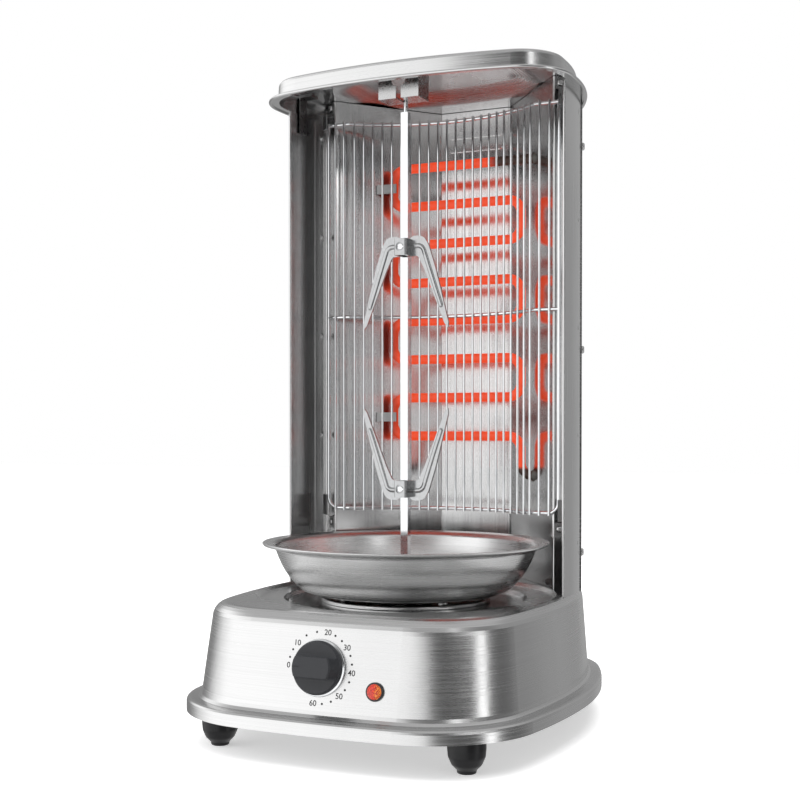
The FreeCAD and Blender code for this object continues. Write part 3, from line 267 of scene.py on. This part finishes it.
STEEL = {
    "base_housing": metal("base_steel", 0.62, 0.24, "level", 0.10),
    "lid": metal("lid_steel", 0.60, 0.24, "level", 0.08),
    "drip_pan": metal("pan_steel", 0.74, 0.27, "round", 0.10),
    "rear_cover": metal("rear_steel", 0.60, 0.28, "level", 0.10),
    "left_wall": metal("wall_steel", 0.60, 0.22, "upright", 0.08),
    "pan_seat": metal("seat_steel", 0.62, 0.15, "round", 0.08),
}
STEEL["right_wall"] = STEEL["left_wall"]
STEEL["upper_fork"] = STEEL["lower_fork"] = metal("fork_steel", 0.42, 0.20, "even", 0.05, warmth=-0.01)
STEEL["spit_bracket"] = metal("bracket_steel", 0.46, 0.26, "even", 0.08)
SLOTS = {
    "brushed_steel": STEEL["base_housing"],
    "polished_steel": metal("polished_steel", 0.64, 0.17, "upright", 0.07, wave=0.12),
    "bright_wire": metal("bright_wire", 0.74, 0.09, "even", 0.03, warmth=-0.015, patches=0.03),
    "zinc_steel": metal("zinc_steel", 0.30, 0.34, "even", 0.12),
    "screw_steel": metal("screw_steel", 0.55, 0.22, "even", 0.05),
    "rubber_black": plastic("rubber_black", (0.009, 0.009, 0.010), 0.34, 0.08, shine=0.28),
    "knob_black": plastic("knob_black", (0.022, 0.023, 0.026), 0.40, 0.10, shine=0.34),
    "black_plastic": plastic("black_plastic", (0.020, 0.020, 0.021), 0.30, 0.08),
    "cream_plastic": plastic("cream_plastic", (0.62, 0.58, 0.48), 0.45, 0.08),
    "ceramic": plastic("ceramic", (0.11, 0.105, 0.095), 0.62, 0.14),
    "lamp_red": lens_red(),
    "heater_glow": glowing_tube(),
}
PRINT = plastic("dial_print", (0.012, 0.012, 0.013), 0.5, 0.05)

for node, shape in NODES.items():
    material = STEEL.get(node, SLOTS[SLOT_OF[node]])
    shape.data.materials.clear()
    shape.data.materials.append(material)


# ---- printed dial ---------------------------------------------------------------------------
HOUSING = NODES["base_housing"].data
PANEL = BVHTree.FromPolygons([v.co for v in HOUSING.vertices], [p.vertices for p in HOUSING.polygons])
PANEL_SLOPE = math.cos(math.radians(10.5))      # the panel's tilt shortens upright measures
PRINT_LIFT = 0.00006                # the ink stands this far off the panel
DIAL_R = 0.0247                     # from the knob's middle to the numbers' middles
DIAL_NUMBERS = (("0", 180), ("10", 140), ("20", 80), ("30", 37), ("40", -5), ("50", -48), ("60", -97))
DOT_R = 0.0008
NUMBER_SIZE = 0.0056
NUMBER_WEIGHT = 0.00006             # the figures are drawn this much bolder all round


def on_panel(x, z):
    """The point of the sloped front panel seen straight from the front."""
    hit, normal, _, _ = PANEL.ray_cast(Vector((x, -1.0, z)), Vector((0, 1, 0)))
    return hit + normal * PRINT_LIFT


def wrap_on_panel(name, flat, x, z):
    """A flat mesh laid on the panel, its middle at the given place, riding on the housing."""
    for vertex in flat.vertices:
        vertex.co = on_panel(x + vertex.co.x, z + vertex.co.y * PANEL_SLOPE)
    flat.materials.clear()
    flat.materials.append(PRINT)
    piece = bpy.data.objects.new(name, flat)
    bpy.context.collection.objects.link(piece)
    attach(piece, "housing")


def number_mesh(text):
    curve = bpy.data.curves.new("number", "FONT")
    curve.body = text
    curve.size = NUMBER_SIZE
    curve.align_x = "CENTER"
    curve.align_y = "CENTER"
    curve.offset = NUMBER_WEIGHT
    carrier = bpy.data.objects.new("number", curve)
    bpy.context.collection.objects.link(carrier)
    mesh = bpy.data.meshes.new_from_object(carrier)
    bpy.data.objects.remove(carrier)
    return mesh


def dot_mesh():
    mesh = bpy.data.meshes.new("dot")
    shape = bmesh.new()
    bmesh.ops.create_circle(shape, cap_ends=True, segments=24, radius=DOT_R)
    shape.to_mesh(mesh)
    shape.free()
    return mesh


def dial_place(angle):
    a = math.radians(angle)
    return KNOB_X + DIAL_R * math.cos(a), DIAL_Z + DIAL_R * math.sin(a) * PANEL_SLOPE


for text, angle in DIAL_NUMBERS:
    wrap_on_panel("dial_" + text, number_mesh(text), *dial_place(angle))
for (first, start), (_, end) in zip(DIAL_NUMBERS, DIAL_NUMBERS[1:]):
    for k in (1, 2):
        wrap_on_panel(f"dial_dot_{first}_{k}", dot_mesh(), *dial_place(start + (end - start) * k / 3))


# ---- floor, light and camera ----------------------------------------------------------------
BOXES = (                           # compass degrees, 0 to the front and + to the right, and brightness
    (-180, 0.45), (-165, 0.42), (-121, 0.24), (-106, 0.42),
    (-90, 1.1), (-70, 1.6), (-36, 1.6), (-14, 1.5), (18, 1.45),         # the wide softbox on the left
    (26, 0.13), (60, 0.09), (76, 0.12),
    (80, 2.4), (87, 2.4),                                               # the strip on the right
    (92, 0.22), (110, 0.15), (125, 0.20), (141, 0.33), (155, 0.45), (168, 0.36), (180, 0.45),
)
BOX_LEAN = 0.089 * 360              # degrees by which the softboxes end further left higher up
ROOF = 0.62
TABLE = 0.75


def floor():
    mesh = bpy.data.meshes.new("floor")
    shape = bmesh.new()
    bmesh.ops.create_grid(shape, x_segments=1, y_segments=1, size=6.0)
    shape.to_mesh(mesh)
    shape.free()
    s = Shader("floor_white")
    fine = s.noise(s.stretched(300, 300, 300), 2.0, 0.5)
    s.feed(Base_Color=s.mix(fine, grey(0.90), grey(0.92)))
    s.set(Roughness=0.75, Emission_Color=(1, 1, 1, 1), Emission_Strength=0.45)
    mesh.materials.append(s.material)
    made = bpy.data.objects.new("floor", mesh)
    bpy.context.collection.objects.link(made)
    made.visible_glossy = False         # the steel mirrors the studio, not the floor


def studio():
    """White to the camera; to reflections, softboxes by compass direction round the object."""
    world = bpy.data.worlds.new("studio")
    bpy.context.scene.world = world
    world.use_nodes = True
    world.node_tree.nodes.clear()
    s = Nodes(world.node_tree)
    way = s.node("ShaderNodeSeparateXYZ")
    s.link(s.node("ShaderNodeTexCoord").outputs["Generated"], way.inputs[0])
    x, y, up = way.outputs
    compass = s.math("ARCTAN2", x, s.math("MULTIPLY", y, -1.0))         # 0 to the front, + to the right
    lean = s.between(up, 0.14, 0.36, 0.5, 0.5 + BOX_LEAN / 360)
    turn = s.math("FRACT", s.math("ADD", s.math("DIVIDE", compass, 2 * math.pi), lean))
    ramp = s.node("ShaderNodeValToRGB")
    s.link(turn, ramp.inputs["Fac"])
    elements = ramp.color_ramp.elements
    elements.remove(elements[-1])
    for i, (degrees, level) in enumerate(BOXES):
        stop = elements[0] if i == 0 else elements.new(degrees / 360 + 0.5)
        stop.position = degrees / 360 + 0.5
        stop.color = (*grey(level), 1)
    roof = s.mix(s.between(up, 0.45, 0.75, 0.0, 1.0, smooth=True), ramp.outputs["Color"], grey(ROOF))
    seen = s.mix(s.between(up, -0.25, -0.6, 0.0, 1.0, smooth=True), roof, grey(TABLE))
    light, white = s.node("ShaderNodeBackground"), s.node("ShaderNodeBackground")
    s.link(seen, light.inputs["Color"])
    white.inputs["Color"].default_value = (1, 1, 1, 1)
    choose = s.node("ShaderNodeMixShader")
    s.link(s.node("ShaderNodeLightPath").outputs["Is Camera Ray"], choose.inputs[0])
    s.link(light.outputs[0], choose.inputs[1])
    s.link(white.outputs[0], choose.inputs[2])
    s.link(choose.outputs[0], s.node("ShaderNodeOutputWorld").inputs[0])


def softbox(name, at, target, size, power):
    lamp = bpy.data.lights.new(name, "AREA")
    lamp.shape = "RECTANGLE"
    lamp.size, lamp.size_y = size
    lamp.energy = power
    made = bpy.data.objects.new(name, lamp)
    made.location = at
    made.rotation_euler = (Vector(target) - Vector(at)).to_track_quat("-Z", "Y").to_euler()
    made.visible_glossy = False
    bpy.context.collection.objects.link(made)


def camera():
    lens = bpy.data.cameras.new("camera")
    lens.sensor_width = 36.0
    lens.lens = 59.2
    lens.shift_x = 0.019
    lens.shift_y = 0.062
    made = bpy.data.objects.new("camera", lens)
    made.location = (0.4202, -0.9531 + AXIS_Y, 0.2341)
    made.rotation_euler = (math.radians(89.11), 0.0, math.radians(24.7))
    bpy.context.collection.objects.link(made)
    bpy.context.scene.camera = made


floor()
studio()
softbox("softbox_top", (0.0, -0.3, 2.2), (0.0, 0.0, 0.2), (2.4, 2.4), 55)
softbox("softbox_left", (-1.5, -1.2, 1.2), (0.0, 0.0, 0.25), (1.0, 1.6), 10)
camera()
bpy.context.scene.view_settings.view_transform = "Standard"
